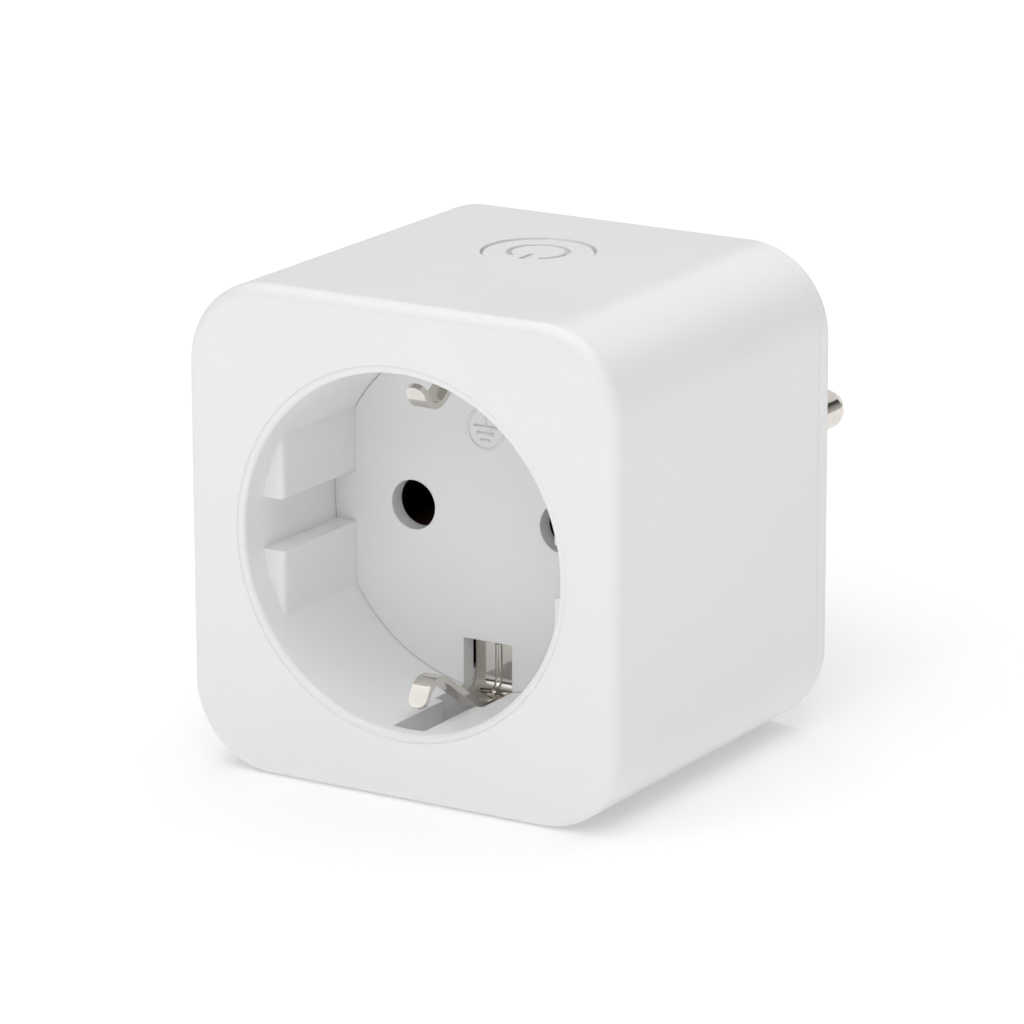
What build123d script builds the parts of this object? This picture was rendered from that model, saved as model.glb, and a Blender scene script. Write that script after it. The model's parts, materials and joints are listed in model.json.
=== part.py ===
from build123d import *
import math
import os

# Wi-Fi smart plug, pass-through type F socket with a type E/F plug on its back.
# Frame: +Z up, the socket faces -Y, the plug pins point along +Y, X is the symmetry direction.
# The origin is the middle of the underside of the whole plug's box. Units are millimetres.

# ---------------------------------------------------------------- driving sizes
BODY_WIDTH = 54.0          # along X
BODY_HEIGHT = 55.0         # along Z
BODY_DEPTH = 45.5          # front face to the rear cover's outer face
BODY_CORNER_R = 9.8        # the four long edges
FRONT_EDGE_R = 1.5         # the edge round the front face
WALL = 2.0                 # housing side walls
FACE_WALL = 2.2            # housing front wall
COVER_WALL = 2.0           # rear cover plate

WELL_R = 19.8              # socket recess
WELL_DEPTH = 18.0
WELL_WALL = 1.7
LIP_WALL = 0.85            # wall of the insert where it stands in the housing's front wall
LIP_SINK = 0.15            # insert's lip behind the housing's face
RIM_R = 0.45               # rounding of the recess mouth
SEAM_R = 0.15              # rounding of the housing's edge round the insert
WELL_FLANGE = 1.6          # how far the insert's flange stands out behind the front wall
WELL_FLANGE_T = 1.5
FLOOR_T = 2.0              # socket floor plate
LEDGE_W = 1.2              # ledge behind the floor plate
LEDGE_T = 1.4

PIN_PITCH = 19.0           # plug pins and socket holes
PIN_R = 2.4
PIN_LENGTH = 19.0          # what stands out of the plug boss
PIN_HOLE_PLAY = 0.4        # socket hole radius over the pin's
PIN_SHANK_STEP = 0.5       # where a pin is held in its carrier
PIN_COLLAR_STEP = 1.3
PIN_COLLAR_T = 2.0
PIN_TAIL_STEP = 0.4        # tail radius under the pin's

GUIDE_DEPTH = 2.8          # guide ribs, from the recess wall to their flat
GUIDE_START = 3.5          # ribs start this far behind the front face
GUIDE_GAP = 5.8            # key channel between two ribs
GUIDE_END_R = 0.7

SLOT_WIDTH = 4.0           # slot for an earth spring in the recess wall
SLOT_START = 1.9
SLOT_WIDE_START = 12.0     # from here back the slot is as wide as the notch
SLOT_DEPTH = 2.8           # below the recess wall
SLOT_WALL = 1.1
NOTCH_WIDTH = 6.2          # opening for an earth contact in the floor plate
NOTCH_DEPTH = 5.6          # in from the recess wall

EARTH_T = 0.8              # earth strips
SPRING_T = 0.7
SPRING_WIDTH = 2.3
EARTH_WIDTH = 5.0
BRIDGE_WIDTH = 6.0         # earth bridge, just narrower than the notch
SPRING_ROOT_SINK = 1.0     # root of the earth spring below the recess wall
SPRING_RISE = 4.9          # contact point of the earth spring above the recess wall
SPRING_CREST_BACK = 6.1    # middle of the crest behind the front face
SPRING_CREST = 2.2         # length of the crest before its bends
SPRING_CREST_R = 2.3
SPRING_TIP_RISE = 1.9      # tip of the earth spring above the recess wall
SPRING_TIP_BACK = 3.5
SPRING_FOOT = 2.6          # length of the root in front of the floor plate
SPRING_GAP = 0.05          # between the spring's root and the bridge
STIFFENER_R = 0.5          # rounded rib pressed into the bridge
STIFFENER_H = 0.3
RIVET_R = 0.9
RIVET_HEAD_R = 1.5
RIVET_HEAD_T = 0.4
RIVET_INSET = 2.4          # rivet from the plug's earth strip, towards the axis
STRIP_FOOT = 4.6           # length of the strip's foot on the bridge

BOSS_R = 18.5              # plug boss
BOSS_HEIGHT = 15.0
BOSS_WALL = 2.0
BOSS_FLAT = 16.2           # side flats, from the axis
BOSS_KEY_W = 4.8
BOSS_KEY_R = 18.4
BOSS_EDGE_R = 1.0
BOSS_FLANGE = 2.0          # how far the flange stands out behind the rear cover
BOSS_FLANGE_T = 2.0
GROOVE_WIDTH = 6.4         # earth groove in the boss
STRIP_R = 15.4             # inner face of the plug's earth strips, from the axis
CARRIER_T = 3.0
EARTH_HOLE_PLAY = 0.1      # radius over the pin's, of the hole for the earth pin of a type E socket
EARTH_HOLE_UP = 10.0       # above the line of the pins
SLEEVE_WALL = 0.7
SLEEVE_LENGTH = 11.0
SLEEVE_TAIL_W = 3.0
SLEEVE_TAIL_LAP = 2.0      # how far the tail runs along the sleeve

POST_R = 3.0               # screw posts in the corners
POST_SINK = 0.25           # how far a post merges into the corner wall
PILOT_R = 1.5
SCREW_R = 1.45
SCREW_LENGTH = 12.0
SCREW_HEAD_R = 2.4
SCREW_HEAD_T = 2.0
SCREW_CROSS_W = 0.8
PAD_T = 3.0                # pad under the rear cover at each screw
COUNTERBORE = 3.0
SPIGOT_T = 1.2             # locating rim of the rear cover
SPIGOT_DEPTH = 2.5

BOARD_T = 1.6
BOARD_MARGIN = 2.0         # from the power board's edges to the housing walls
BOARD_TO_COVER = 3.8       # from the power board's back to the rear cover's inner face
BAR_T = 0.8                # flat conductors on the power board
BAR_WIDTH = 4.0

LEAF_T = 0.6               # socket contacts
LEAF_WIDTH = 5.2
LEAF_PLAY = 0.2            # between a contact's two leaves, over a pin's diameter
LEAF_FLARE = 1.2           # how far each leaf spreads at its mouth
CONTACT_BACK = 0.7         # from the power board to a contact's base
CONTACT_TAB_W = 3.0

BUTTON_R = 6.15
BUTTON_GAP = 0.25
BUTTON_BACK = 28.8         # button axis behind the front face
BUTTON_SINK = 0.1          # button top below the housing's top
BUTTON_TOP_T = 1.6
BUTTON_TRAVEL = 0.5
BUTTON_FLANGE = 1.1
BUTTON_FLANGE_T = 1.0
BUTTON_WALL = 1.1
BUTTON_EDGE_R = 0.3
STEM_R = 1.6
SYMBOL_R = 3.55            # power symbol: outer radius of its ring
SYMBOL_W = 0.6
SYMBOL_DEPTH = 1.0
SYMBOL_OPEN = 62.0         # degrees left out of the ring
SYMBOL_BAR_OUT = 3.9       # bar, from the button's axis
SYMBOL_BAR_IN = 1.1
GUIDE_RING_R = 4.8
GUIDE_RING_T = 1.2

CONTROL_BOARD_T = 1.2
CONTROL_BOARD_X = 28.0
SWITCH_SIZE = 6.0
SWITCH_HEIGHT = 3.4
PLUNGER_R = 1.7
PLUNGER_OUT = 1.1          # plunger above the switch body
PLUNGER_IN = 1.7
MODULE_X = 12.0
MODULE_Y = 13.0
MODULE_T = 0.8
SHIELD_T = 1.8

RELAY_X = 10.2             # relay
RELAY_Z = 17.5
RELAY_HEIGHT = 15.0
RELAY_WALL = 0.8
RELAY_BASE_T = 1.5
COIL_R = 3.6
CORE_R = 1.5
CORE_HEAD_R = 2.6
CORE_HEAD_T = 0.8
YOKE_T = 1.0
ARMATURE_T = 0.8
ARMATURE_SWING = 3.5       # degrees
ARM_T = 0.5
CONTACT_R = 1.1
CONTACT_T = 0.6
RELAY_PIN_R = 0.6

SUPPLY_X = 4.2             # inner side of the power supply's column of parts
FILM_CAP_X = 5.6           # safety capacitor
FILM_CAP_Y = 11.0
FILM_CAP_Z = 12.5
CAN_R = 3.15               # electrolytic capacitors
CAN_HEIGHT = 12.0
CAN_PITCH = 6.9
DRUM_R = 3.0               # inductor
DRUM_CORE_R = 2.2
DRUM_HEIGHT = 7.0
DRUM_FLANGE_T = 1.0
FUSE_LENGTH = 9.0
FUSE_R = 1.6
VARISTOR_R = 3.6
VARISTOR_T = 2.4
EDGE_PARTS_X = -17.0       # fuse and varistor, near the board's edge
RECTIFIER_SIZE = (5.0, 2.4, 4.0)
METERING_SIZE = (5.0, 1.6, 6.0)
HEADER_LENGTH = 9.6
HEADER_SIZE = 2.5
LED_SIZE = (2.0, 1.2, 0.9)
SHIELD_WALL = 0.3

FIT = 0.05                 # pieces pushed or dropped into each other
RUN = 0.25                 # around pieces that move

# ---------------------------------------------------------------- derived sizes and places
PIN_HOLE_R = PIN_R + PIN_HOLE_PLAY
EARTH_HOLE_R = PIN_R + EARTH_HOLE_PLAY
SLEEVE_R = EARTH_HOLE_R + SLEEVE_WALL
PIN_SHANK_R = PIN_R + PIN_SHANK_STEP
PIN_COLLAR_R = PIN_R + PIN_COLLAR_STEP
PIN_TAIL_R = PIN_R - PIN_TAIL_STEP
GUIDE_FLAT = WELL_R - GUIDE_DEPTH
SLOT_R = WELL_R + SLOT_DEPTH
NOTCH_R = WELL_R - NOTCH_DEPTH
SPRING_ROOT_R = WELL_R + SPRING_ROOT_SINK
SPRING_CREST_MID_R = WELL_R - SPRING_RISE + SPRING_T / 2
SPRING_TIP_R = WELL_R - SPRING_TIP_RISE
LEAF_GAP = 2 * PIN_R + LEAF_PLAY
LEAF_MOUTH = LEAF_GAP + 2 * LEAF_FLARE
BOARD_X = BODY_WIDTH - 2 * (WALL + BOARD_MARGIN)
BOARD_Z = BODY_HEIGHT - 2 * (WALL + BOARD_MARGIN)
TOTAL_DEPTH = BODY_DEPTH + BOSS_HEIGHT + PIN_LENGTH
FRONT_Y = -TOTAL_DEPTH / 2
REAR_Y = FRONT_Y + BODY_DEPTH
BOSS_Y = REAR_Y + BOSS_HEIGHT
TIP_Y = BOSS_Y + PIN_LENGTH
AXIS_Z = BODY_HEIGHT / 2
FLOOR_Y = FRONT_Y + WELL_DEPTH
FLOOR_BACK_Y = FLOOR_Y + FLOOR_T
COVER_IN_Y = REAR_Y - COVER_WALL
INSERT_R = WELL_R + WELL_WALL
LIP_R = WELL_R + LIP_WALL
LIP_Y = FRONT_Y + LIP_SINK
FLANGE_Y = FRONT_Y + FACE_WALL + FIT
POST_OUT = (BODY_CORNER_R - WALL - POST_R + POST_SINK) / math.sqrt(2)
POST_X = BODY_WIDTH / 2 - BODY_CORNER_R + POST_OUT
POST_Z = BODY_HEIGHT / 2 - BODY_CORNER_R + POST_OUT
PAD_Y = COVER_IN_Y - PAD_T
BOARD_BACK_Y = COVER_IN_Y - BOARD_TO_COVER
BOARD_FRONT_Y = BOARD_BACK_Y - BOARD_T
BAR_BACK_Y = BOARD_BACK_Y + BAR_T
BASE_BACK_Y = BOARD_FRONT_Y - CONTACT_BACK + LEAF_T / 2
PIN_X = PIN_PITCH / 2
CONTACT_TAB_X = PIN_X + LEAF_WIDTH / 2 + 1.4
BRIDGE_Y = FLOOR_BACK_Y + 0.3
HINGE_Y = FLOOR_Y + 0.1
BUTTON_Y = FRONT_Y + BUTTON_BACK
CAP_TOP_Z = BODY_HEIGHT - BUTTON_SINK
CAP_UNDER_Z = CAP_TOP_Z - BUTTON_TOP_T
CAP_FLANGE_Z = BODY_HEIGHT - WALL - BUTTON_FLANGE_T - FIT
STEM_END_Z = CAP_FLANGE_Z - 0.5
SWITCH_TOP_Z = STEM_END_Z - FIT - PLUNGER_OUT
CONTROL_TOP_Z = SWITCH_TOP_Z - SWITCH_HEIGHT
CONTROL_Z = CONTROL_TOP_Z - CONTROL_BOARD_T
CONTROL_BACK_Y = BOARD_FRONT_Y - 1.2
RELAY_MID_X = -PIN_X
RELAY_TOP_Z = AXIS_Z - LEAF_MOUTH / 2 - LEAF_T - 1.8
RELAY_BOTTOM_Z = RELAY_TOP_Z - RELAY_Z
RELAY_FRONT_Y = BOARD_FRONT_Y - RELAY_HEIGHT


# ---------------------------------------------------------------- helpers
def block(x, y, z):
    """A box between two limits on each axis."""
    size = [high - low for low, high in (x, y, z)]
    middle = [(high + low) / 2 for low, high in (x, y, z)]
    return Pos(*middle) * Box(*size)


def rod_y(x, z, radius, y0, y1):
    return Pos(x, (y0 + y1) / 2, z) * Rot(90, 0, 0) * Cylinder(radius, y1 - y0)


def rod_z(x, y, radius, z0, z1):
    return Pos(x, y, (z0 + z1) / 2) * Cylinder(radius, z1 - z0)


def slab(sketch, y0, y1):
    """A sketch of the front view, about the socket's axis, extruded from y0 to y1."""
    plane = Plane(origin=(0, y1, AXIS_Z), x_dir=(1, 0, 0), z_dir=(0, -1, 0))
    return extrude(plane * sketch, amount=y1 - y0)


def side_strip(points, radii, thickness, x0, x1):
    """A strip bent along points (y, z) of the side view, as wide as x0 to x1."""
    path = FilletPolyline(*points, radius=radii) if radii else Polyline(*points)
    plane = Plane(origin=(x0, 0, 0), x_dir=(0, 1, 0), z_dir=(1, 0, 0))
    return extrude(plane * trace(path, line_width=thickness), amount=x1 - x0)


def upside(shape):
    """The shape mirrored from below the socket's axis to above it."""
    return mirror(shape, about=Plane(origin=(0, 0, AXIS_Z), z_dir=(0, 0, 1)))


def body_outline(inset=0.0):
    return RectangleRounded(BODY_WIDTH - 2 * inset, BODY_HEIGHT - 2 * inset, BODY_CORNER_R - inset)


def post_places():
    return [(sx * POST_X, AXIS_Z + sz * POST_Z) for sx in (-1, 1) for sz in (-1, 1)]


def edges_at_y(shape, y, radius=None):
    """The edges of a shape that lie in the plane at y, all of them or the circles of one radius."""
    found = [e for e in shape.edges() if all(abs(v.Y - y) < 1e-4 for v in (e @ 0, e @ 0.5, e @ 1))]
    if radius is None:
        return found
    return [e for e in found if e.geom_type == GeomType.CIRCLE and abs(e.radius - radius) < 1e-4]


# ---------------------------------------------------------------- casing
def front_housing():
    shell = slab(body_outline(), FRONT_Y, COVER_IN_Y)
    shell = fillet(edges_at_y(shell, FRONT_Y), FRONT_EDGE_R)
    shell -= slab(body_outline(WALL), FRONT_Y + FACE_WALL, COVER_IN_Y)
    shell -= rod_y(0, AXIS_Z, LIP_R, FRONT_Y - 1, FRONT_Y + FACE_WALL + 1)
    for x, z in post_places():
        shell += rod_y(x, z, POST_R, FRONT_Y + FACE_WALL - 0.5, PAD_Y)
    for x, z in post_places():
        shell -= rod_y(x, z, PILOT_R, PAD_Y - SCREW_LENGTH, PAD_Y + 1)
    shell -= rod_z(0, BUTTON_Y, BUTTON_R + BUTTON_GAP, BODY_HEIGHT - WALL - 1, BODY_HEIGHT + 1)
    return fillet(edges_at_y(shell, FRONT_Y, LIP_R), SEAM_R)


def rear_cover():
    cover = slab(body_outline(), COVER_IN_Y, REAR_Y)
    rim_out = WALL + 2 * FIT
    rim = slab(body_outline(rim_out), COVER_IN_Y - SPIGOT_DEPTH, COVER_IN_Y)
    rim -= slab(body_outline(rim_out + SPIGOT_T), COVER_IN_Y - SPIGOT_DEPTH - 1, COVER_IN_Y)
    pads = [rod_y(x, z, POST_R, PAD_Y, COVER_IN_Y) for x, z in post_places()]
    inside = slab(body_outline(rim_out), PAD_Y, COVER_IN_Y)
    for pad in pads:
        rim += pad & inside
    rim -= rod_z(0, BUTTON_Y, BUTTON_R + BUTTON_FLANGE + RUN, AXIS_Z, BODY_HEIGHT)
    cover += rim
    for x, z in post_places():
        cover -= rod_y(x, z, SCREW_R + 2 * FIT, PAD_Y - 1, REAR_Y)
        cover -= rod_y(x, z, SCREW_HEAD_R + 3 * FIT, REAR_Y - COUNTERBORE, REAR_Y + 1)
    return cover - rod_y(0, AXIS_Z, BOSS_R + FIT, COVER_IN_Y - 1, REAR_Y + 1)


def housing_screws():
    """Four identical self-tapping screws."""
    seat_y = REAR_Y - COUNTERBORE
    top_y = seat_y + SCREW_HEAD_T
    screws = []
    for x, z in post_places():
        screw = rod_y(x, z, SCREW_HEAD_R, seat_y, top_y)
        screw += rod_y(x, z, SCREW_R, PAD_Y - SCREW_LENGTH + 1, seat_y)
        reach = SCREW_HEAD_R * 0.65
        half = SCREW_CROSS_W / 2
        for dx, dz in ((reach, half), (half, reach)):
            screw -= block((x - dx, x + dx), (top_y - 1, top_y + 1), (z - dz, z + dz))
        screws.append(screw)
    return Compound(children=[s.solid() for s in screws])


# ---------------------------------------------------------------- socket
def guide_ribs():
    """Two guide ribs on each side, each the slice of the recess beyond a flat."""
    ribs = []
    half_chord = math.sqrt(WELL_R**2 - GUIDE_FLAT**2)
    for side in (-1, 1):
        for level in (-1, 1):
            x_limits = sorted((side * GUIDE_FLAT, side * (WELL_R + 1)))
            low, high = sorted((level * GUIDE_GAP / 2, level * (half_chord + 1)))
            y_limits = (FRONT_Y + GUIDE_START, FLOOR_Y)
            rib = block(x_limits, y_limits, (AXIS_Z + low, AXIS_Z + high))
            lead = [e for e in rib.edges().filter_by(Axis.Z) if abs((e @ 0).Y - y_limits[0]) < 1e-4]
            lead = [e for e in lead if abs((e @ 0).X - side * GUIDE_FLAT) < 1e-4]
            rib = fillet(lead, GUIDE_END_R)
            ribs.append(rib & rod_y(0, AXIS_Z, WELL_R + WELL_WALL / 2, FRONT_Y, FLOOR_Y))
    return ribs


def socket_well():
    back_y = FLOOR_BACK_Y + LEDGE_T
    well = rod_y(0, AXIS_Z, LIP_R, LIP_Y, FLANGE_Y)
    well += rod_y(0, AXIS_Z, INSERT_R, FLANGE_Y, back_y)
    well += rod_y(0, AXIS_Z, INSERT_R + WELL_FLANGE, FLANGE_Y, FLANGE_Y + WELL_FLANGE_T)
    half, wide = SLOT_WIDTH / 2, NOTCH_WIDTH / 2
    cut_wall = (-wide - SLOT_WALL, wide + SLOT_WALL)
    for level in (-1, 1):
        z_limits = sorted(AXIS_Z + level * r for r in (WELL_R + WELL_WALL / 2, SLOT_R + SLOT_WALL))
        well += block(cut_wall, (FLANGE_Y, back_y), z_limits)
    well -= rod_y(0, AXIS_Z, WELL_R, FRONT_Y - 1, FLOOR_BACK_Y)
    well -= rod_y(0, AXIS_Z, WELL_R - LEDGE_W, FLOOR_BACK_Y - 1, back_y + 1)
    well = fillet(edges_at_y(well, LIP_Y, WELL_R), RIM_R)
    for rib in guide_ribs():
        well += rib
    for level in (-1, 1):
        z_limits = sorted(AXIS_Z + level * r for r in (WELL_R - LEDGE_W - 1, SLOT_R))
        well -= block((-half, half), (FRONT_Y + SLOT_START, back_y + 1), z_limits)
        well -= block((-wide, wide), (FRONT_Y + SLOT_WIDE_START, back_y + 1), z_limits)
    return well


def socket_floor():
    floor = rod_y(0, AXIS_Z, WELL_R - FIT, FLOOR_Y, FLOOR_BACK_Y)
    for side in (-1, 1):
        floor -= rod_y(side * PIN_X, AXIS_Z, PIN_HOLE_R, FLOOR_Y - 1, FLOOR_BACK_Y + 1)
    half = NOTCH_WIDTH / 2
    for level in (-1, 1):
        z_limits = sorted(AXIS_Z + level * r for r in (NOTCH_R, WELL_R + 1))
        floor -= block((-half, half), (FLOOR_Y - 1, FLOOR_BACK_Y + 1), z_limits)
    return floor


def socket_contact(side):
    """A forked bronze contact behind one pin hole, with a tab through the power board."""
    x_mid = side * PIN_X
    base_y = BASE_BACK_Y - LEAF_T / 2
    mouth_y = FLOOR_BACK_Y + 0.8
    waist_y = mouth_y + 3.2
    reach = LEAF_GAP / 2 + LEAF_T / 2
    mouth = LEAF_MOUTH / 2 + LEAF_T / 2
    upper = [(mouth_y, AXIS_Z + mouth), (waist_y, AXIS_Z + reach), (base_y, AXIS_Z + reach)]
    lower = [(y, 2 * AXIS_Z - z) for y, z in reversed(upper)]
    bend = 1.0
    fork = side_strip(upper + lower, [bend] * 4, LEAF_T, x_mid - LEAF_WIDTH / 2, x_mid + LEAF_WIDTH / 2)
    foot_x = sorted((x_mid, side * (CONTACT_TAB_X + LEAF_T / 2)))
    z_limits = (AXIS_Z - CONTACT_TAB_W / 2, AXIS_Z + CONTACT_TAB_W / 2)
    fork += block(foot_x, (base_y - LEAF_T / 2, BASE_BACK_Y), z_limits)
    tab_x = sorted((side * (CONTACT_TAB_X - LEAF_T / 2), side * (CONTACT_TAB_X + LEAF_T / 2)))
    return fork + block(tab_x, (base_y - LEAF_T / 2, BAR_BACK_Y), z_limits)


# ---------------------------------------------------------------- earth parts
def spring_root_z(level):
    return AXIS_Z + level * SPRING_ROOT_R


def earth_bridge():
    """The strap behind the floor plate; its ends bend forward under the earth springs."""
    mid_y = BRIDGE_Y + EARTH_T / 2
    end_y = HINGE_Y + SPRING_T / 2 + SPRING_GAP
    low = spring_root_z(-1)
    points = [(end_y, low), (mid_y, low), (mid_y, 2 * AXIS_Z - low), (end_y, 2 * AXIS_Z - low)]
    half = BRIDGE_WIDTH / 2
    bend = (mid_y - end_y) * 0.9
    strap = side_strip(points, [bend, bend], EARTH_T, -half, half)
    rib = stiffener(mid_y, end_y, bend)
    strap = strap + rib + upside(rib)
    for level in (-1, 1):
        hole_z = AXIS_Z + level * (STRIP_R - RIVET_INSET)
        strap -= rod_y(0, hole_z, RIVET_R + FIT, BRIDGE_Y, BRIDGE_Y + EARTH_T + 1)
    return strap


def stiffener(mid_y, end_y, bend):
    """The rounded rib pressed into the strap's lower end, from the notch round the bend."""
    shift = EARTH_T / 2 - STIFFENER_R + STIFFENER_H
    y, z = mid_y - shift, spring_root_z(-1) + shift
    top_z = AXIS_Z - NOTCH_R - 2 * STIFFENER_R
    path = FilletPolyline((0, y, top_z), (0, y, z), (0, end_y, z), radius=bend - shift)
    rib = sweep((path ^ 0) * Circle(STIFFENER_R), path=path)
    return rib + Pos(0, y, top_z) * Sphere(STIFFENER_R)


def earth_clip():
    """The lower earth spring, from its root in the slot over the contact point to its round tip."""
    root = spring_root_z(-1)
    top = AXIS_Z - SPRING_CREST_MID_R
    crest_y = FRONT_Y + SPRING_CREST_BACK
    tip = (FRONT_Y + SPRING_TIP_BACK, AXIS_Z - SPRING_TIP_R)
    points = [
        (HINGE_Y, root),
        (FLOOR_Y - SPRING_FOOT, root),
        (crest_y + SPRING_CREST / 2, top),
        (crest_y - SPRING_CREST / 2, top),
        tip,
    ]
    half = SPRING_WIDTH / 2
    strip = side_strip(points, [SPRING_CREST_R] * 3, SPRING_T, -half, half)
    corners = [e for e in strip.edges() if abs((e @ 0).X - (e @ 1).X) < 1e-4]
    corners = [e for e in corners if math.dist(((e @ 0.5).Y, (e @ 0.5).Z), tip) < SPRING_T / 4]
    strip = fillet(corners, half * 0.9)
    eye = Pos(0, HINGE_Y, root) * Rot(0, 90, 0) * Cylinder(SPRING_T / 2, SPRING_WIDTH)
    return strip + eye


def plug_earth_strip():
    """The lower earth strip of the plug, from its groove in the boss to the bridge."""
    mid_z = AXIS_Z - STRIP_R - EARTH_T / 2
    foot_y = BRIDGE_Y + EARTH_T * 1.5
    end_y = BOSS_Y - 1.2
    points = [(end_y, mid_z), (foot_y, mid_z), (foot_y, mid_z + STRIP_FOOT)]
    half = EARTH_WIDTH / 2
    strip = side_strip(points, [EARTH_T], EARTH_T, -half, half)
    return strip - rod_y(0, AXIS_Z - STRIP_R + RIVET_INSET, RIVET_R + FIT, BRIDGE_Y, foot_y + 2)


def earth_rivets():
    """Two identical rivets that join the earth strips to the bridge."""
    back_y = BRIDGE_Y + 2 * EARTH_T
    rivets = []
    for level in (-1, 1):
        z = AXIS_Z + level * (STRIP_R - RIVET_INSET)
        rivet = rod_y(0, z, RIVET_R, BRIDGE_Y, back_y)
        rivet += rod_y(0, z, RIVET_HEAD_R, back_y, back_y + RIVET_HEAD_T)
        rivets.append(rivet.solid())
    return Compound(children=rivets)


def earth_pin_sleeve():
    """The sleeve that takes a type E socket's earth pin, with a tail to the upper earth strip."""
    z = AXIS_Z + EARTH_HOLE_UP
    front_y = BOSS_Y - CARRIER_T
    back_y = front_y - SLEEVE_LENGTH
    sleeve = rod_y(0, z, SLEEVE_R, back_y, front_y)
    tail_x = (-SLEEVE_TAIL_W / 2, SLEEVE_TAIL_W / 2)
    tail_y = (BAR_BACK_Y + RUN + FIT, back_y + SLEEVE_TAIL_LAP)
    tail_z = (z + EARTH_HOLE_R, z + SLEEVE_R)
    sleeve += block(tail_x, tail_y, tail_z)
    sleeve += block(tail_x, (tail_y[0], tail_y[0] + SLEEVE_WALL), (tail_z[0], AXIS_Z + STRIP_R))
    return sleeve - rod_y(0, z, EARTH_HOLE_R, back_y - 0.1, front_y + 1)


# ---------------------------------------------------------------- plug
def boss_section(inset=0.0):
    """Front view of the boss: a round with side flats, side keys and earth grooves."""
    round_part = Circle(BOSS_R - inset)
    round_part &= Rectangle(2 * (BOSS_FLAT - inset), 2 * BOSS_R)
    if inset:
        return round_part & Rectangle(2 * BOSS_R, 2 * (STRIP_R - inset))
    round_part += Rectangle(2 * BOSS_KEY_R, BOSS_KEY_W)
    for level in (-1, 1):
        depth = BOSS_R - STRIP_R + 1
        round_part -= Pos(0, level * (STRIP_R + depth / 2)) * Rectangle(GROOVE_WIDTH, depth)
    return round_part


def plug_boss():
    boss = slab(boss_section(), REAR_Y, BOSS_Y)
    boss = fillet(edges_at_y(boss, BOSS_Y), BOSS_EDGE_R)
    boss += rod_y(0, AXIS_Z, BOSS_R, COVER_IN_Y - 0.5, REAR_Y)
    boss += rod_y(0, AXIS_Z, BOSS_R + BOSS_FLANGE, COVER_IN_Y - BOSS_FLANGE_T, COVER_IN_Y)
    boss -= slab(boss_section(BOSS_WALL), COVER_IN_Y - BOSS_FLANGE_T - 1, BOSS_Y + 1)
    half = EARTH_WIDTH / 2 + FIT
    for level in (-1, 1):
        z_limits = sorted(AXIS_Z + level * r for r in (STRIP_R, STRIP_R + EARTH_T + FIT))
        boss -= block((-half, half), (COVER_IN_Y - BOSS_FLANGE_T - 1, BOSS_Y + 1), z_limits)
    return boss - sleeve_relief()


def sleeve_relief():
    """Room for the earth pin sleeve and its tail, which cuts the boss's wall when the pins are thick."""
    z = AXIS_Z + EARTH_HOLE_UP
    y_limits = (COVER_IN_Y - BOSS_FLANGE_T - 1, BOSS_Y - CARRIER_T)
    half = SLEEVE_TAIL_W / 2 + FIT
    return rod_y(0, z, SLEEVE_R + FIT, *y_limits) + block((-half, half), y_limits, (z, z + SLEEVE_R + FIT))


def pin_carrier():
    """The moulding that closes the boss and holds both pins."""
    carrier = slab(boss_section(BOSS_WALL + FIT), BOSS_Y - CARRIER_T, BOSS_Y)
    for side in (-1, 1):
        carrier -= rod_y(side * PIN_X, AXIS_Z, PIN_SHANK_R + FIT, BOSS_Y - CARRIER_T - 1, BOSS_Y + 1)
    z = AXIS_Z + EARTH_HOLE_UP
    return carrier - rod_y(0, z, EARTH_HOLE_R, BOSS_Y - CARRIER_T - 1, BOSS_Y + 1)


def plug_pin(side):
    x = side * PIN_X
    collar_y = BOSS_Y - CARRIER_T
    pin = rod_y(x, AXIS_Z, PIN_R, BOSS_Y - 0.5, TIP_Y - PIN_R)
    pin += Pos(x, TIP_Y - PIN_R, AXIS_Z) * Sphere(PIN_R)
    pin += rod_y(x, AXIS_Z, PIN_SHANK_R, collar_y, BOSS_Y)
    pin += rod_y(x, AXIS_Z, PIN_COLLAR_R, collar_y - PIN_COLLAR_T, collar_y)
    return pin + rod_y(x, AXIS_Z, PIN_TAIL_R, BAR_BACK_Y, collar_y - PIN_COLLAR_T)


# ---------------------------------------------------------------- power electronics
def power_board():
    board = slab(RectangleRounded(BOARD_X, BOARD_Z, 2.0), BOARD_FRONT_Y, BOARD_BACK_Y)
    cut = (BOARD_FRONT_Y - 1, BOARD_BACK_Y + 1)
    for x, z in post_places():
        board -= rod_y(x, z, POST_R + RUN, *cut)
        out_x = sorted((x, math.copysign(BOARD_X / 2 + 1, x)))
        out_z = sorted((z, AXIS_Z + math.copysign(BOARD_Z / 2 + 1, z - AXIS_Z)))
        board -= block(out_x, cut, out_z)
    wide = EARTH_WIDTH / 2 + RUN
    for level in (-1, 1):
        z_limits = sorted(AXIS_Z + level * r for r in (STRIP_R - RUN, STRIP_R + EARTH_T + RUN))
        board -= block((-wide, wide), cut, z_limits)
    tab = CONTACT_TAB_W / 2 + FIT
    for side in (-1, 1):
        x_limits = sorted(side * (CONTACT_TAB_X + d * (LEAF_T / 2 + FIT)) for d in (-1, 1))
        board -= block(x_limits, cut, (AXIS_Z - tab, AXIS_Z + tab))
    for x, z in relay_pin_places():
        board -= rod_y(x, z, RELAY_PIN_R + FIT, *cut)
    return board


def relay_pin_places():
    """Input, output and the two coil pins of the relay."""
    left = RELAY_MID_X - RELAY_X / 2 + 1.9
    right = RELAY_MID_X + RELAY_X / 2 - 1.9
    top = RELAY_TOP_Z - 2.2
    low = RELAY_BOTTOM_Z + 1.6
    return [(right, top), (left, top), (left, low), (right, low)]


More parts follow.
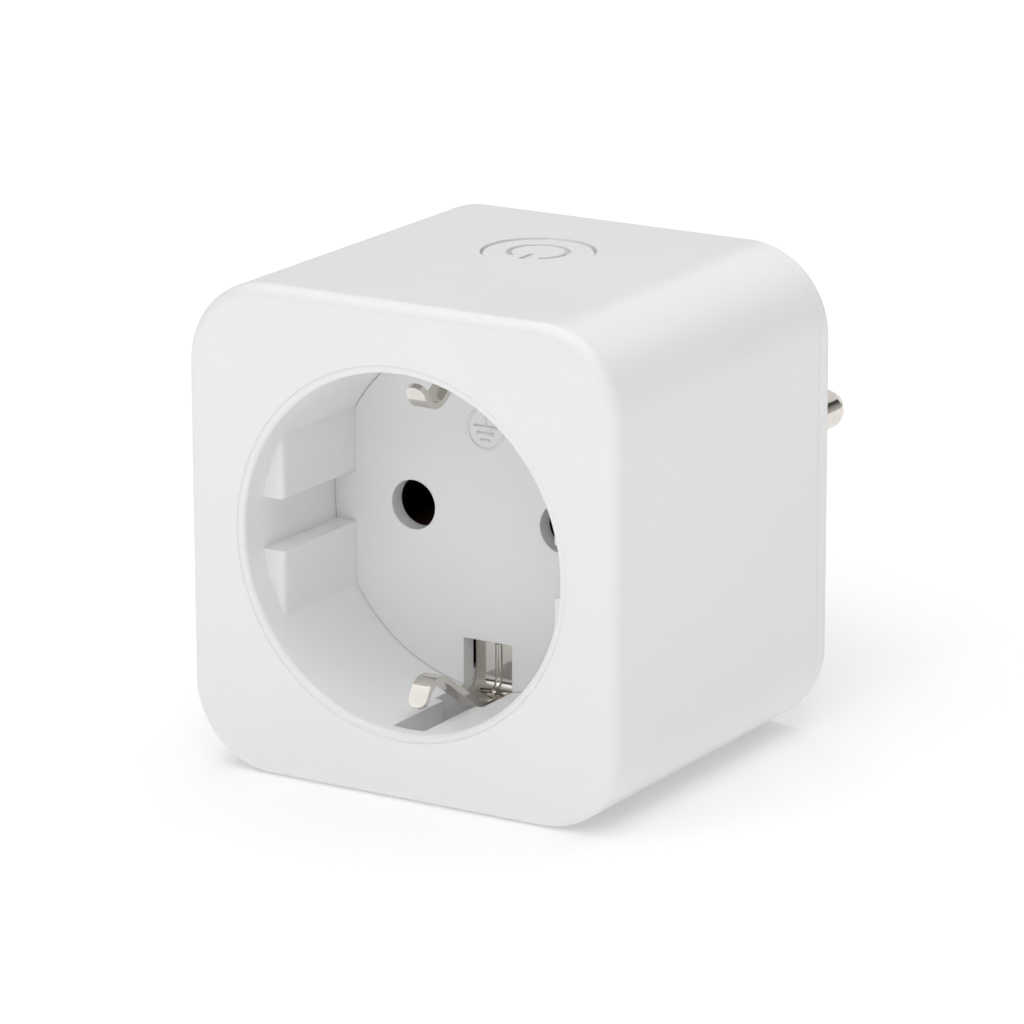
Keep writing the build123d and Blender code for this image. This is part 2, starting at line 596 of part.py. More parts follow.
def flat_bar(points, holes=()):
    """A flat conductor on the back of the power board along points (x, z)."""
    path = Polyline(*[(x, z - AXIS_Z) for x, z in points])
    bar = slab(trace(path, line_width=BAR_WIDTH), BOARD_BACK_Y, BAR_BACK_Y)
    for x, z, radius in holes:
        bar -= rod_y(x, z, radius, BOARD_BACK_Y - 1, BAR_BACK_Y + 1)
    return bar


def line_input_bar():
    """From the line pin down to the relay's input."""
    x, z = relay_pin_places()[0]
    hole = (x, z, RELAY_PIN_R + FIT)
    return flat_bar([(-PIN_X + 0.6, AXIS_Z + 2), (-PIN_X + 0.6, AXIS_Z - 4), (x, z - 2)], [hole])


def line_output_bar():
    """The measuring shunt, from the relay's output up to the line contact's tab."""
    x, z = relay_pin_places()[1]
    tab_x = -CONTACT_TAB_X
    low_x = min(x, tab_x) - BAR_WIDTH / 2 + 0.6
    x_limits = (low_x - 1.4, x + RELAY_PIN_R + 0.6)
    bar = block((low_x - 1.4, tab_x + LEAF_T / 2 + 0.8), (BOARD_BACK_Y, BAR_BACK_Y), (z - 1.6, AXIS_Z + 2.6))
    bar += block(x_limits, (BOARD_BACK_Y, BAR_BACK_Y), (z - 1.6, z + 1.6))
    bar -= rod_y(x, z, RELAY_PIN_R + FIT, BOARD_BACK_Y - 1, BAR_BACK_Y + 1)
    return bar - tab_hole(-1)


def neutral_bar():
    """From the neutral pin straight to the neutral contact's tab."""
    z_limits = (AXIS_Z - BAR_WIDTH / 2, AXIS_Z + BAR_WIDTH / 2)
    end_x = CONTACT_TAB_X + LEAF_T / 2 + 1.2
    bar = block((PIN_X - PIN_TAIL_R, end_x), (BOARD_BACK_Y, BAR_BACK_Y), z_limits)
    return bar - tab_hole(1)


def tab_hole(side):
    x_limits = sorted(side * (CONTACT_TAB_X + d * (LEAF_T / 2 + FIT)) for d in (-1, 1))
    half = CONTACT_TAB_W / 2 + FIT
    return block(x_limits, (BOARD_BACK_Y - 1, BAR_BACK_Y + 1), (AXIS_Z - half, AXIS_Z + half))


# ---------------------------------------------------------------- relay
def relay_box(inset, y0, y1):
    half = RELAY_X / 2 - inset
    z_limits = (RELAY_BOTTOM_Z + inset, RELAY_TOP_Z - inset)
    return block((RELAY_MID_X - half, RELAY_MID_X + half), (y0, y1), z_limits)


RELAY_BASE_Y = BOARD_FRONT_Y - RELAY_BASE_T
COIL_Z = RELAY_BOTTOM_Z + RELAY_WALL + COIL_R + 0.8
YOKE_Z = COIL_Z + COIL_R + 0.5
YOKE_TOP_Y = RELAY_FRONT_Y + RELAY_WALL + 1.9
ARMATURE_BACK_Y = YOKE_TOP_Y - FIT
CORE_TOP_Y = YOKE_TOP_Y + 0.45
ARM_Z = YOKE_Z + YOKE_T + 0.9
ARM_END_Y = RELAY_BASE_Y - 3.4
CONTACT_Y = ARM_END_Y - 1.4
CONTACT_GAP = (CONTACT_Y - YOKE_TOP_Y + CONTACT_R) * math.sin(math.radians(ARMATURE_SWING)) + 0.02
PLATE_HALF = 3.4


def relay_case():
    case = relay_box(0, RELAY_FRONT_Y, RELAY_BASE_Y)
    return case - relay_box(RELAY_WALL, RELAY_FRONT_Y + RELAY_WALL, RELAY_BASE_Y + 1)


def relay_base():
    base = relay_box(0, RELAY_BASE_Y, BOARD_FRONT_Y)
    for x, z in relay_pin_places():
        base -= rod_y(x, z, RELAY_PIN_R + FIT, RELAY_BASE_Y - 1, BOARD_FRONT_Y + 1)
    return base


def relay_coil():
    """Copper winding on a flanged bobbin round the core."""
    low_y = RELAY_BASE_Y - YOKE_T - FIT
    high_y = CORE_TOP_Y + CORE_HEAD_T
    coil = rod_y(RELAY_MID_X, COIL_Z, COIL_R - 0.4, high_y, low_y)
    for y0, y1 in ((high_y, high_y + 0.8), (low_y - 0.8, low_y)):
        coil += rod_y(RELAY_MID_X, COIL_Z, COIL_R, y0, y1)
    return coil - rod_y(RELAY_MID_X, COIL_Z, CORE_R + FIT, high_y - 1, low_y + 1)


def relay_yoke():
    """The L-shaped iron frame with the coil's core riveted into it."""
    x_limits = (RELAY_MID_X - PLATE_HALF, RELAY_MID_X + PLATE_HALF)
    foot_y = RELAY_BASE_Y - YOKE_T
    yoke = block(x_limits, (foot_y, RELAY_BASE_Y), (COIL_Z - COIL_R, YOKE_Z + YOKE_T))
    yoke += block(x_limits, (YOKE_TOP_Y, foot_y), (YOKE_Z, YOKE_Z + YOKE_T))
    yoke += rod_y(RELAY_MID_X, COIL_Z, CORE_R, CORE_TOP_Y, foot_y + YOKE_T / 2)
    return yoke + rod_y(RELAY_MID_X, COIL_Z, CORE_HEAD_R, CORE_TOP_Y, CORE_TOP_Y + CORE_HEAD_T)


def relay_armature():
    """The hinged plate over the coil, with the spring arm that carries the moving contact."""
    x_limits = (RELAY_MID_X - PLATE_HALF, RELAY_MID_X + PLATE_HALF)
    y_limits = (ARMATURE_BACK_Y - ARMATURE_T, ARMATURE_BACK_Y)
    plate = block(x_limits, y_limits, (COIL_Z - COIL_R, ARM_Z + ARM_T))
    arm_x = (RELAY_MID_X - 1.5, RELAY_MID_X + 1.5)
    plate += block(arm_x, (ARMATURE_BACK_Y - ARMATURE_T, ARM_END_Y), (ARM_Z, ARM_Z + ARM_T))
    contact_z = (ARM_Z + ARM_T / 2, ARM_Z + ARM_T + CONTACT_T)
    return plate + rod_z(RELAY_MID_X, CONTACT_Y, CONTACT_R, *contact_z)


def relay_fixed_contact():
    """The output terminal blade with its contact rivet."""
    face_z = ARM_Z + ARM_T + CONTACT_T + CONTACT_GAP
    blade_z = (face_z + 0.5, face_z + 1.1)
    x_limits = (RELAY_MID_X - 1.5, RELAY_MID_X + 1.5)
    blade = block(x_limits, (ARM_END_Y - 3.0, RELAY_BASE_Y), blade_z)
    return blade + rod_z(RELAY_MID_X, CONTACT_Y, CONTACT_R, face_z, blade_z[1])


def relay_pins():
    """Four identical terminal pins through the relay's base and the board."""
    ends = (RELAY_BASE_Y + 0.4, BAR_BACK_Y + 0.3)
    return Compound(children=[rod_y(x, z, RELAY_PIN_R, *ends).solid() for x, z in relay_pin_places()])


# ---------------------------------------------------------------- power supply
def safety_capacitor():
    """Boxed film capacitor across the mains."""
    x = (SUPPLY_X, SUPPLY_X + FILM_CAP_X)
    z = (RELAY_TOP_Z - FILM_CAP_Z, RELAY_TOP_Z)
    part = block(x, (BOARD_FRONT_Y - FILM_CAP_Y, BOARD_FRONT_Y), z)
    return fillet(part.edges().filter_by(Axis.Y), 0.5)


def filter_capacitors():
    """Two identical electrolytic capacitors."""
    x = SUPPLY_X + FILM_CAP_X + 0.6 + CAN_R
    top_y = BOARD_FRONT_Y - CAN_HEIGHT
    cans = []
    for z in (RELAY_TOP_Z - CAN_R, RELAY_TOP_Z - CAN_R - CAN_PITCH):
        can = rod_y(x, z, CAN_R, top_y, BOARD_FRONT_Y)
        cans.append(fillet(edges_at_y(can, top_y), 0.5).solid())
    return Compound(children=cans)


def power_inductor():
    """Drum inductor of the voltage converter, under the safety capacitor."""
    x, z = SUPPLY_X + DRUM_R + 0.2, RELAY_TOP_Z - FILM_CAP_Z - DRUM_R - 0.2
    top_y = BOARD_FRONT_Y - DRUM_HEIGHT
    drum = rod_y(x, z, DRUM_CORE_R, top_y, BOARD_FRONT_Y)
    drum += rod_y(x, z, DRUM_R, top_y, top_y + DRUM_FLANGE_T)
    return drum + rod_y(x, z, DRUM_R, BOARD_FRONT_Y - DRUM_FLANGE_T, BOARD_FRONT_Y)


def fuse_resistor():
    """Fusible resistor above the line contact, lying along X on short legs."""
    x, z = EDGE_PARTS_X, AXIS_Z + 9.0
    y = BOARD_FRONT_Y - FUSE_R - 0.6
    body = Pos(x + FUSE_LENGTH / 2, y, z) * Rot(0, 90, 0) * Cylinder(FUSE_R, FUSE_LENGTH)
    body = fillet(body.edges(), FUSE_R * 0.4)
    for leg in (x + 1, x + FUSE_LENGTH - 1):
        body += block((leg - 0.3, leg + 0.3), (y, BOARD_FRONT_Y), (z - 0.3, z + 0.3))
    return body


def varistor():
    """Disc that clamps mains surges, standing on the board."""
    x, z = EDGE_PARTS_X, AXIS_Z + 15.5
    disc_y = BOARD_FRONT_Y - VARISTOR_R - 0.8
    disc = Pos(x, disc_y, z) * Cylinder(VARISTOR_R, VARISTOR_T)
    disc = fillet(disc.edges(), VARISTOR_T / 3)
    return disc + block((x - 1, x + 1), (disc_y, BOARD_FRONT_Y), (z - 0.4, z + 0.4))


def on_power_board(size, x, z):
    """A plain box of a size on the front of the power board, its lowest corner at x, z."""
    return block((x, x + size[0]), (BOARD_FRONT_Y - size[1], BOARD_FRONT_Y), (z, z + size[2]))


def rectifier():
    return on_power_board(RECTIFIER_SIZE, 8.0, AXIS_Z + 7.0)


def metering_chip():
    return on_power_board(METERING_SIZE, 15.0, AXIS_Z + 5.0)


# ---------------------------------------------------------------- control electronics
def control_board():
    half = CONTROL_BOARD_X / 2
    y_limits = (FLOOR_BACK_Y + LEDGE_T + 1.0, CONTROL_BACK_Y)
    return block((-half, half), y_limits, (CONTROL_Z, CONTROL_TOP_Z))


def board_header():
    """Angled pin header that carries the control board on the power board."""
    x = 1.0 - CONTROL_BOARD_X / 2
    y_limits = (CONTROL_BACK_Y - HEADER_SIZE, BOARD_FRONT_Y)
    return block((x, x + HEADER_LENGTH), y_limits, (CONTROL_Z - HEADER_SIZE, CONTROL_Z))


def wifi_board():
    x = (CONTROL_BOARD_X / 2 - MODULE_X, CONTROL_BOARD_X / 2)
    y = (CONTROL_BACK_Y - MODULE_Y, CONTROL_BACK_Y)
    return block(x, y, (CONTROL_Z - MODULE_T, CONTROL_Z))


def wifi_shield():
    x = (CONTROL_BOARD_X / 2 - MODULE_X + 1, CONTROL_BOARD_X / 2 - 1)
    y = (CONTROL_BACK_Y - MODULE_Y + 3.5, CONTROL_BACK_Y - 1)
    low = CONTROL_Z - MODULE_T - SHIELD_T
    can = block(x, y, (low, CONTROL_Z - MODULE_T))
    inner_x, inner_y = ((side[0] + SHIELD_WALL, side[1] - SHIELD_WALL) for side in (x, y))
    return can - block(inner_x, inner_y, (low + SHIELD_WALL, CONTROL_Z))


def switch_body():
    half = SWITCH_SIZE / 2
    body = block((-half, half), (BUTTON_Y - half, BUTTON_Y + half), (CONTROL_TOP_Z, SWITCH_TOP_Z))
    low = SWITCH_TOP_Z - PLUNGER_IN - BUTTON_TRAVEL - FIT
    return body - rod_z(0, BUTTON_Y, PLUNGER_R + FIT, low, SWITCH_TOP_Z + 1)


def switch_plunger():
    return rod_z(0, BUTTON_Y, PLUNGER_R, SWITCH_TOP_Z - PLUNGER_IN, SWITCH_TOP_Z + PLUNGER_OUT)


def status_led():
    x, half = SWITCH_SIZE / 2 + 1, LED_SIZE[1] / 2
    z = (CONTROL_TOP_Z, CONTROL_TOP_Z + LED_SIZE[2])
    return block((x, x + LED_SIZE[0]), (BUTTON_Y - half, BUTTON_Y + half), z)


# ---------------------------------------------------------------- button
def symbol_cut():
    """Groove of the power symbol: a ring left open towards the front, and a bar."""
    ring = Circle(SYMBOL_R) - Circle(SYMBOL_R - SYMBOL_W)
    reach = SYMBOL_R * 2
    side_x = reach * math.tan(math.radians(SYMBOL_OPEN / 2))
    ring -= make_face(Polyline((0, 0), (-side_x, -reach), (side_x, -reach), close=True))
    bar_mid = -(SYMBOL_BAR_OUT + SYMBOL_BAR_IN) / 2
    bar = Pos(0, bar_mid) * SlotOverall(SYMBOL_BAR_OUT - SYMBOL_BAR_IN, SYMBOL_W, rotation=90)
    top = Plane(origin=(0, BUTTON_Y, CAP_TOP_Z + 1), x_dir=(1, 0, 0), z_dir=(0, 0, 1))
    return extrude(top * ring, amount=-1 - SYMBOL_DEPTH) + extrude(top * bar, amount=-1 - SYMBOL_DEPTH)


def button_cap():
    cap = rod_z(0, BUTTON_Y, BUTTON_R, CAP_FLANGE_Z, CAP_TOP_Z)
    cap = fillet(cap.edges().group_by(Axis.Z)[-1], BUTTON_EDGE_R)
    flange_top = CAP_FLANGE_Z + BUTTON_FLANGE_T
    cap += rod_z(0, BUTTON_Y, BUTTON_R + BUTTON_FLANGE, CAP_FLANGE_Z, flange_top)
    cap -= rod_z(0, BUTTON_Y, BUTTON_R - BUTTON_WALL, CAP_FLANGE_Z - 1, CAP_UNDER_Z)
    cap += rod_z(0, BUTTON_Y, STEM_R, STEM_END_Z, CAP_UNDER_Z + 0.5)
    return cap - symbol_cut()


def light_guide():
    low = CAP_UNDER_Z - GUIDE_RING_T
    ring = rod_z(0, BUTTON_Y, GUIDE_RING_R, low, CAP_UNDER_Z)
    return ring - rod_z(0, BUTTON_Y, STEM_R + FIT, low - 1, CAP_UNDER_Z + 1)


PIECES = {
    "front_housing": front_housing,
    "rear_cover": rear_cover,
    "housing_screws": housing_screws,
    "socket_well": socket_well,
    "socket_floor": socket_floor,
    "line_contact": lambda: socket_contact(-1),
    "neutral_contact": lambda: socket_contact(1),
    "earth_bridge": earth_bridge,
    "earth_clip_bottom": earth_clip,
    "earth_clip_top": lambda: upside(earth_clip()),
    "plug_earth_strip_bottom": plug_earth_strip,
    "plug_earth_strip_top": lambda: upside(plug_earth_strip()),
    "earth_rivets": earth_rivets,
    "earth_pin_sleeve": earth_pin_sleeve,
    "plug_boss": plug_boss,
    "pin_carrier": pin_carrier,
    "plug_pin_line": lambda: plug_pin(-1),
    "plug_pin_neutral": lambda: plug_pin(1),
    "power_board": power_board,
    "line_input_bar": line_input_bar,
    "line_output_bar": line_output_bar,
    "neutral_bar": neutral_bar,
    "relay_case": relay_case,
    "relay_base": relay_base,
    "relay_coil": relay_coil,
    "relay_yoke": relay_yoke,
    "relay_armature": relay_armature,
    "relay_fixed_contact": relay_fixed_contact,
    "relay_pins": relay_pins,
    "safety_capacitor": safety_capacitor,
    "filter_capacitors": filter_capacitors,
    "power_inductor": power_inductor,
    "fuse_resistor": fuse_resistor,
    "varistor": varistor,
    "rectifier": rectifier,
    "metering_chip": metering_chip,
    "control_board": control_board,
    "board_header": board_header,
    "wifi_board": wifi_board,
    "wifi_shield": wifi_shield,
    "switch_body": switch_body,
    "switch_plunger": switch_plunger,
    "status_led": status_led,
    "button_cap": button_cap,
    "light_guide": light_guide,
}

os.makedirs("parts", exist_ok=True)
for node, make in PIECES.items():
    export_step(make(), f"parts/{node}.step")
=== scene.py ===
"""Wi-Fi smart plug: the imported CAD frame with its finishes, raised earth sign, studio and camera. Metres."""
import bmesh
import bpy
import json
import math
from mathutils import Matrix, Vector


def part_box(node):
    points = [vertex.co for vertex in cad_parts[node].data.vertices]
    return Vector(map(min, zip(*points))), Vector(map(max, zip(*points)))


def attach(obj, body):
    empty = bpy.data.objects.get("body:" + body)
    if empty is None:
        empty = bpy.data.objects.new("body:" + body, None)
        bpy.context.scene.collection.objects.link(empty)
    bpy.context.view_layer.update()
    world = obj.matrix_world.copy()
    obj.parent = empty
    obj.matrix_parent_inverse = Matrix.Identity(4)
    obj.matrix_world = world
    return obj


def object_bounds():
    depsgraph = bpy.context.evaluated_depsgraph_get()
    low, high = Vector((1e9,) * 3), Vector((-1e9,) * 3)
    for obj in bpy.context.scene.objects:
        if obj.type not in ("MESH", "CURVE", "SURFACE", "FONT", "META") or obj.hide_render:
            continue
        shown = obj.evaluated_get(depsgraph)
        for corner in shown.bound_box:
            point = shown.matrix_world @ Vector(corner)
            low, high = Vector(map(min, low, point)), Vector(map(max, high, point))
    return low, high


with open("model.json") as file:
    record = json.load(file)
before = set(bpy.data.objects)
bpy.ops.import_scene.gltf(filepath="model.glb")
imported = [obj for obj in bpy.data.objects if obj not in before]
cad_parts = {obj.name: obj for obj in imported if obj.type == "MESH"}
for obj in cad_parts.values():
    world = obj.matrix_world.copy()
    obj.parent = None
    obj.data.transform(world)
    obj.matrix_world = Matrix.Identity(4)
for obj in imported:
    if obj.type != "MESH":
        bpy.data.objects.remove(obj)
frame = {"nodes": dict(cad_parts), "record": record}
cad_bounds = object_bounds()
MM = 0.001
HOUSING_LOW, HOUSING_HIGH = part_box("front_housing")
FRONT_Y = HOUSING_LOW.y
AXIS_Z = (HOUSING_LOW.z + HOUSING_HIGH.z) / 2
SOCKET_FLOOR_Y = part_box("socket_floor")[0].y

# ---------------------------------------------------------------- sizes and places
CAMERA_PLACE = (0.31143, FRONT_Y - 0.48379, 0.19431)
CAMERA_YAW = math.radians(31.564)
CAMERA_PITCH = math.radians(15.726)     # downwards
CAMERA_ROLL = math.radians(-0.18)
CAMERA_LENS = 198.42                    # millimetres, as is the film's width
CAMERA_FILM = 36.0
CAMERA_CLIP = (0.01, 20.0)

LAMPS_AIM = (0.0, -0.01, 0.03)
LAMPS = {                               # place, width and height, watts
    "key": ((-0.30, -0.90, 1.00), (1.3, 0.9), 3.9),
    "top": ((0.0, 0.05, 0.75), (0.9, 0.9), 4.2),
    "right_fill": ((0.40, -0.74, 0.70), (0.5, 0.5), 1.7),
    "back_fill": ((0.0, 0.80, 0.35), (0.6, 0.5), 0.8),
}
SKY_HORIZON = 0.55                      # greys of the room, from the horizon to straight up
SKY_BETWEEN = ((0.16, 0.40), (0.30, 0.07), (0.60, 0.07))
SKY_TOP = 0.22
FLOOR_HALF = 3.0
FLOOR_GREY = 0.90
FLOOR_GLOW_NEAR = (0.04, 0.20)          # distance from the middle, strength
FLOOR_GLOW_FAR = (0.25, 0.42)

SIGN_PLACE = (-0.2 * MM, SOCKET_FLOOR_Y, AXIS_Z + 9.8 * MM)
SIGN_RING_R = 2.25 * MM
SIGN_RING_STEPS = 64
SIGN_STEM_FOOT = 0.25 * MM
SIGN_BARS = ((0.25 * MM, 1.45 * MM), (-0.50 * MM, 1.05 * MM), (-1.25 * MM, 0.60 * MM))   # height, half length
BEAD_WIDTH = 0.36 * MM
BEAD_HEIGHT = 0.22 * MM
BEAD_SINK = 0.05 * MM                   # how deep a bead's flat side lies in the socket floor
BEAD_STEPS = 7
BEAD_FULLNESS = 0.7                     # under 1 the bead's section is fuller than a sine

# ---------------------------------------------------------------- finishes, one for each slot
ALONG = (12.0, 1.0, 12.0)               # noise drawn out along Y

# darker and lighter colour, roughness from and to, and what differs from the usual
PLASTICS = {
    "white_plastic": ((0.908, 0.912, 0.914), (0.925, 0.928, 0.930), (0.30, 0.38), {"edge": 0.18 * MM}),
    "board_green": ((0.012, 0.075, 0.035), (0.018, 0.110, 0.050), (0.25, 0.40), {"grain": 3000.0}),
    "relay_plastic": ((0.020, 0.022, 0.026), (0.032, 0.034, 0.040), (0.35, 0.50), {}),
    "capacitor_yellow": ((0.62, 0.42, 0.03), (0.72, 0.50, 0.05), (0.25, 0.35), {}),
    "ferrite": ((0.018, 0.018, 0.020), (0.034, 0.034, 0.038), (0.55, 0.75),
                {"grain": 5000.0, "height": 1.2e-5}),
    "varistor_blue": ((0.015, 0.07, 0.28), (0.025, 0.11, 0.38), (0.30, 0.45), {}),
    "resistor_body": ((0.16, 0.24, 0.20), (0.22, 0.32, 0.27), (0.35, 0.50), {}),
    "chip_black": ((0.012, 0.012, 0.013), (0.024, 0.024, 0.026), (0.45, 0.60), {}),
    "led_lens": ((0.70, 0.68, 0.55), (0.85, 0.83, 0.70), (0.08, 0.15), {}),
    "light_guide": ((0.70, 0.74, 0.78), (0.80, 0.84, 0.88), (0.05, 0.12), {}),
}
METALS = {
    "nickel": ((0.64, 0.60, 0.55), (0.75, 0.72, 0.68), (0.06, 0.14), {"stretch": ALONG}),
    "contact_bronze": ((0.52, 0.24, 0.15), (0.70, 0.38, 0.26), (0.22, 0.38), {"stretch": ALONG}),
    "screw_steel": ((0.45, 0.45, 0.46), (0.60, 0.60, 0.61), (0.25, 0.40), {}),
    "copper": ((0.60, 0.30, 0.18), (0.80, 0.45, 0.30), (0.20, 0.35), {}),
    "soft_iron": ((0.40, 0.40, 0.41), (0.55, 0.55, 0.56), (0.30, 0.45), {}),
    "can_aluminium": ((0.62, 0.63, 0.65), (0.75, 0.76, 0.78), (0.20, 0.35), {"stretch": ALONG}),
    "shield_metal": ((0.66, 0.66, 0.66), (0.78, 0.78, 0.78), (0.25, 0.40), {}),
}


def add_object(name, data):
    added = bpy.data.objects.new(name, data)
    bpy.context.scene.collection.objects.link(added)
    return added


# ---------------------------------------------------------------- camera and studio
def make_camera():
    """A long lens from the right and above."""
    data = bpy.data.cameras.new("camera")
    data.lens = CAMERA_LENS
    data.sensor_width = CAMERA_FILM
    data.clip_start, data.clip_end = CAMERA_CLIP
    level = Vector((-math.sin(CAMERA_YAW), math.cos(CAMERA_YAW), 0.0))
    forward = level * math.cos(CAMERA_PITCH) - Vector((0.0, 0.0, math.sin(CAMERA_PITCH)))
    right = Vector((math.cos(CAMERA_YAW), math.sin(CAMERA_YAW), 0.0))
    up = right.cross(forward)
    turned_right = right * math.cos(CAMERA_ROLL) + up * math.sin(CAMERA_ROLL)
    turned_up = up * math.cos(CAMERA_ROLL) - right * math.sin(CAMERA_ROLL)
    turn = Matrix((turned_right, turned_up, -forward)).transposed()
    camera = add_object("camera", data)
    camera.matrix_world = Matrix.Translation(CAMERA_PLACE) @ turn.to_4x4()
    bpy.context.scene.camera = camera


def softbox(name, place, size, power):
    data = bpy.data.lights.new(name, "AREA")
    data.shape = "RECTANGLE"
    data.size, data.size_y = size
    data.energy = power
    lamp = add_object(name, data)
    lamp.location = place
    lamp.rotation_euler = (Vector(LAMPS_AIM) - Vector(place)).to_track_quat("-Z", "Y").to_euler()


def make_world():
    """A dim room: brighter near the horizon, dark above, for contrast in the metal."""
    world = bpy.data.worlds.new("studio")
    world.use_nodes = True
    nodes, links = world.node_tree.nodes, world.node_tree.links
    place = nodes.new("ShaderNodeTexCoord")
    split = nodes.new("ShaderNodeSeparateXYZ")
    links.new(place.outputs["Generated"], split.inputs["Vector"])
    ramp = nodes.new("ShaderNodeValToRGB")
    stops = ramp.color_ramp.elements
    stops[0].color = (SKY_HORIZON, SKY_HORIZON, SKY_HORIZON, 1.0)
    stops[1].color = (SKY_TOP, SKY_TOP, SKY_TOP, 1.0)
    for height, grey in SKY_BETWEEN:
        stops.new(height).color = (grey, grey, grey, 1.0)
    links.new(split.outputs["Z"], ramp.inputs["Fac"])
    links.new(ramp.outputs["Color"], nodes["Background"].inputs["Color"])
    bpy.context.scene.world = world
    bpy.context.scene.view_settings.view_transform = "Standard"


def floor_paper():
    """White paper that gives off a little light of its own, more of it away from the object."""
    paper, shader = principled("floor_paper", (FLOOR_GREY, FLOOR_GREY, FLOOR_GREY), 0.8)
    nodes, links = paper.node_tree.nodes, paper.node_tree.links
    place = nodes.new("ShaderNodeTexCoord")
    length = nodes.new("ShaderNodeVectorMath")
    length.operation = "LENGTH"
    links.new(place.outputs["Object"], length.inputs[0])
    glow = nodes.new("ShaderNodeMapRange")
    glow.inputs["From Min"].default_value, glow.inputs["To Min"].default_value = FLOOR_GLOW_NEAR
    glow.inputs["From Max"].default_value, glow.inputs["To Max"].default_value = FLOOR_GLOW_FAR
    links.new(length.outputs["Value"], glow.inputs["Value"])
    links.new(glow.outputs["Result"], shader.inputs["Emission Strength"])
    shader.inputs["Emission Color"].default_value = (1.0, 1.0, 1.0, 1.0)
    shader.inputs["Specular IOR Level"].default_value = 0.1
    return paper


def make_floor():
    mesh = bpy.data.meshes.new("floor")
    corners = [(x * FLOOR_HALF, y * FLOOR_HALF, 0) for x, y in ((-1, -1), (1, -1), (1, 1), (-1, 1))]
    mesh.from_pydata(corners, [], [(0, 1, 2, 3)])
    mesh.materials.append(floor_paper())
    floor = add_object("floor", mesh)
    floor.location.z = cad_bounds[0].z


def make_studio():
    make_world()
    make_floor()
    for name, (place, size, power) in LAMPS.items():
        softbox(name, place, size, power)


# ---------------------------------------------------------------- material helpers
def principled(name, colour, roughness, metallic=0.0):
    material = bpy.data.materials.new(name)
    material.use_nodes = True
    shader = material.node_tree.nodes["Principled BSDF"]
    shader.inputs["Base Color"].default_value = (*colour, 1.0)
    shader.inputs["Roughness"].default_value = roughness
    shader.inputs["Metallic"].default_value = metallic
    return material, shader


def noise(material, scale, detail, stretch=(1.0, 1.0, 1.0)):
    """A noise in the object's own space; scale is in features per metre."""
    nodes, links = material.node_tree.nodes, material.node_tree.links
    place = nodes.new("ShaderNodeTexCoord")
    mapping = nodes.new("ShaderNodeMapping")
    mapping.inputs["Scale"].default_value = stretch
    links.new(place.outputs["Object"], mapping.inputs["Vector"])
    texture = nodes.new("ShaderNodeTexNoise")
    texture.inputs["Scale"].default_value = scale
    texture.inputs["Detail"].default_value = detail
    links.new(mapping.outputs["Vector"], texture.inputs["Vector"])
    return texture.outputs["Fac"]


def span(material, value, low, high):
    """Maps a 0 to 1 value to low to high."""
    nodes, links = material.node_tree.nodes, material.node_tree.links
    remap = nodes.new("ShaderNodeMapRange")
    remap.inputs["To Min"].default_value = low
    remap.inputs["To Max"].default_value = high
    links.new(value, remap.inputs["Value"])
    return remap.outputs["Result"]


def tint(material, value, dark, light):
    """Blends between two colours over the middle of a 0 to 1 value."""
    nodes, links = material.node_tree.nodes, material.node_tree.links
    ramp = nodes.new("ShaderNodeValToRGB")
    for stop, position, colour in zip(ramp.color_ramp.elements, (0.3, 0.7), (dark, light)):
        stop.position = position
        stop.color = (*colour, 1.0)
    links.new(value, ramp.inputs["Fac"])
    return ramp.outputs["Color"]


def bump(material, value, height, strength, edge=0.0):
    """Raises the surface by a value, height in metres; edge softens sharp edges by that radius."""
    nodes, links = material.node_tree.nodes, material.node_tree.links
    node = nodes.new("ShaderNodeBump")
    if edge:
        soft = nodes.new("ShaderNodeBevel")
        soft.samples = 4
        soft.inputs["Radius"].default_value = edge
        links.new(soft.outputs["Normal"], node.inputs["Normal"])
    node.inputs["Distance"].default_value = height
    node.inputs["Strength"].default_value = strength
    links.new(value, node.inputs["Height"])
    links.new(node.outputs["Normal"], nodes["Principled BSDF"].inputs["Normal"])


def feed(material, value, socket):
    material.node_tree.links.new(value, material.node_tree.nodes["Principled BSDF"].inputs[socket])


def moulded(name, dark, light, rough, grain=9000.0, height=4e-6, edge=0.0):
    """Moulded plastic: fine spark-erosion grain, slight drift of gloss and shade."""
    material = principled(name, light, sum(rough) / 2)[0]
    feed(material, tint(material, noise(material, 60.0, 3.0), dark, light), "Base Color")
    feed(material, span(material, noise(material, 240.0, 5.0), *rough), "Roughness")
    bump(material, noise(material, grain, 2.0), height, 0.35, edge)
    return material


def metal(name, dark, light, rough, stretch=(1.0, 1.0, 1.0)):
    """Plated or rolled metal: fine drawn lines and slightly uneven colour."""
    material = principled(name, light, sum(rough) / 2, 1.0)[0]
    feed(material, tint(material, noise(material, 180.0, 4.0), dark, light), "Base Color")
    lines = noise(material, 900.0, 6.0, stretch)
    feed(material, span(material, lines, *rough), "Roughness")
    bump(material, lines, 3e-6, 0.4)
    return material


def make_finishes():
    made = {}
    for make, table in ((moulded, PLASTICS), (metal, METALS)):
        for name, (dark, light, rough, more) in table.items():
            made[name] = make(name, dark, light, rough, **more)
    return made


def dress_nodes(made):
    for part in frame["record"]["subparts"]:
        mesh = frame["nodes"][part["node"]].data
        mesh.materials.clear()
        mesh.materials.append(made[part["material_slot"]])


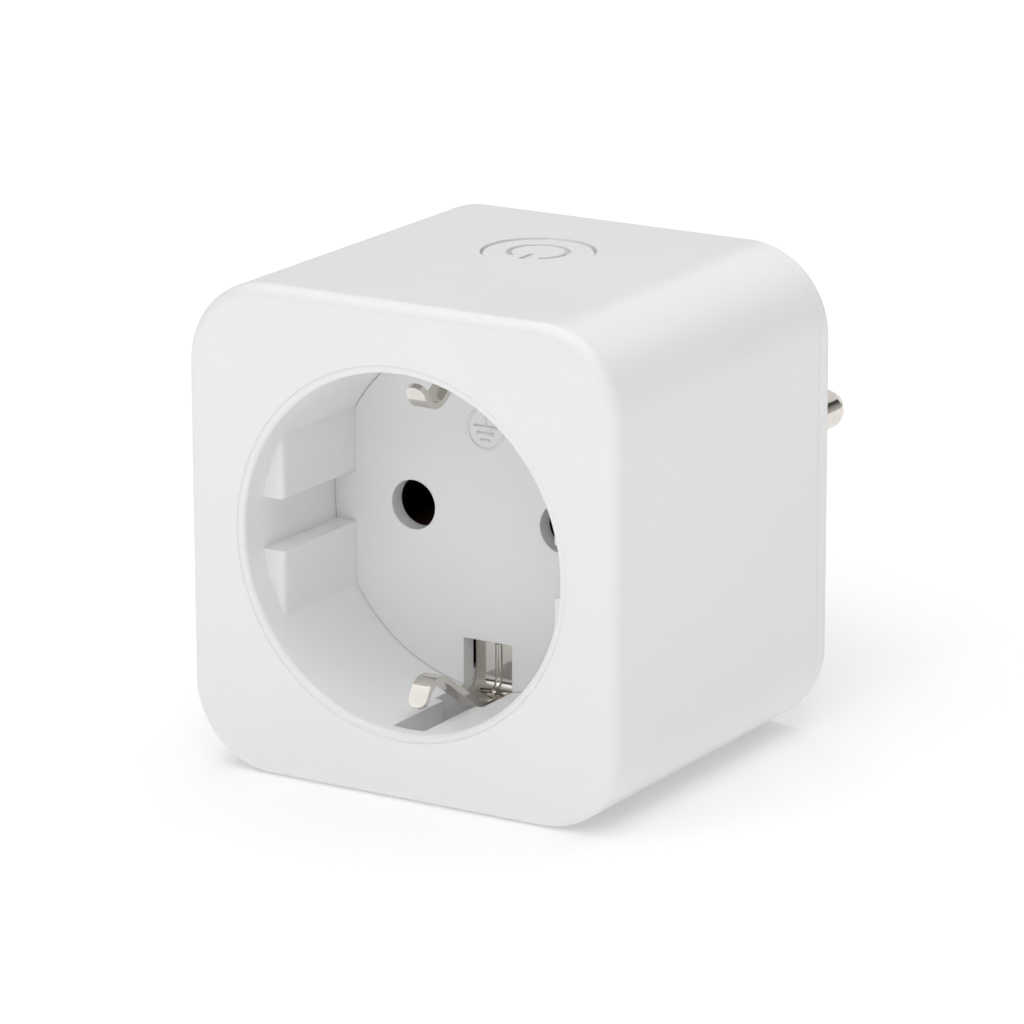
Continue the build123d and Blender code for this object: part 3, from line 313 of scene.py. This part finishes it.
# ---------------------------------------------------------------- raised earth sign
def bead(mesh, path, closed=False):
    """A rounded bead raised from the plane y = 0 towards -Y along a path of (x, z) points."""
    rings = []
    last = len(path) - 1
    for i, (x, z) in enumerate(path):
        before = path[i - 1] if closed or i else path[i]
        after = path[(i + 1) % len(path)] if closed or i < last else path[i]
        along = Vector((after[0] - before[0], after[1] - before[1])).normalized()
        ring = []
        for k in range(BEAD_STEPS):
            turn = math.pi * k / (BEAD_STEPS - 1)
            side = math.cos(turn) * BEAD_WIDTH / 2
            rise = math.sin(turn) ** BEAD_FULLNESS * BEAD_HEIGHT
            ring.append(mesh.verts.new((x - along.y * side, BEAD_SINK - rise, z + along.x * side)))
        rings.append(ring)
    pairs = list(zip(rings, rings[1:]))
    if closed:
        pairs.append((rings[-1], rings[0]))
    else:
        mesh.faces.new(rings[0])
        mesh.faces.new(reversed(rings[-1]))
    for one, two in pairs:
        for k in range(BEAD_STEPS):
            after = (k + 1) % BEAD_STEPS
            mesh.faces.new((one[k], two[k], two[after], one[after]))


def earth_symbol(material):
    """The protective earth sign in a circle on the socket's floor, above the middle."""
    mesh = bmesh.new()
    turns = [2 * math.pi * k / SIGN_RING_STEPS for k in range(SIGN_RING_STEPS)]
    bead(mesh, [(SIGN_RING_R * math.cos(t), SIGN_RING_R * math.sin(t)) for t in turns], closed=True)
    bead(mesh, [(0, SIGN_RING_R - BEAD_WIDTH / 2), (0, SIGN_STEM_FOOT)])
    for z, half in SIGN_BARS:
        bead(mesh, [(-half, z), (half, z)])
    bmesh.ops.recalc_face_normals(mesh, faces=mesh.faces)
    data = bpy.data.meshes.new("earth_symbol")
    mesh.to_mesh(data)
    mesh.free()
    for face in data.polygons:
        face.use_smooth = face.normal.y < 0.5       # all but the flat back
    data.materials.append(material)
    symbol = add_object("earth_symbol", data)
    symbol.location = SIGN_PLACE
    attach(symbol, "plug_body")


make_camera()
make_studio()
finishes = make_finishes()
dress_nodes(finishes)
earth_symbol(finishes["white_plastic"])
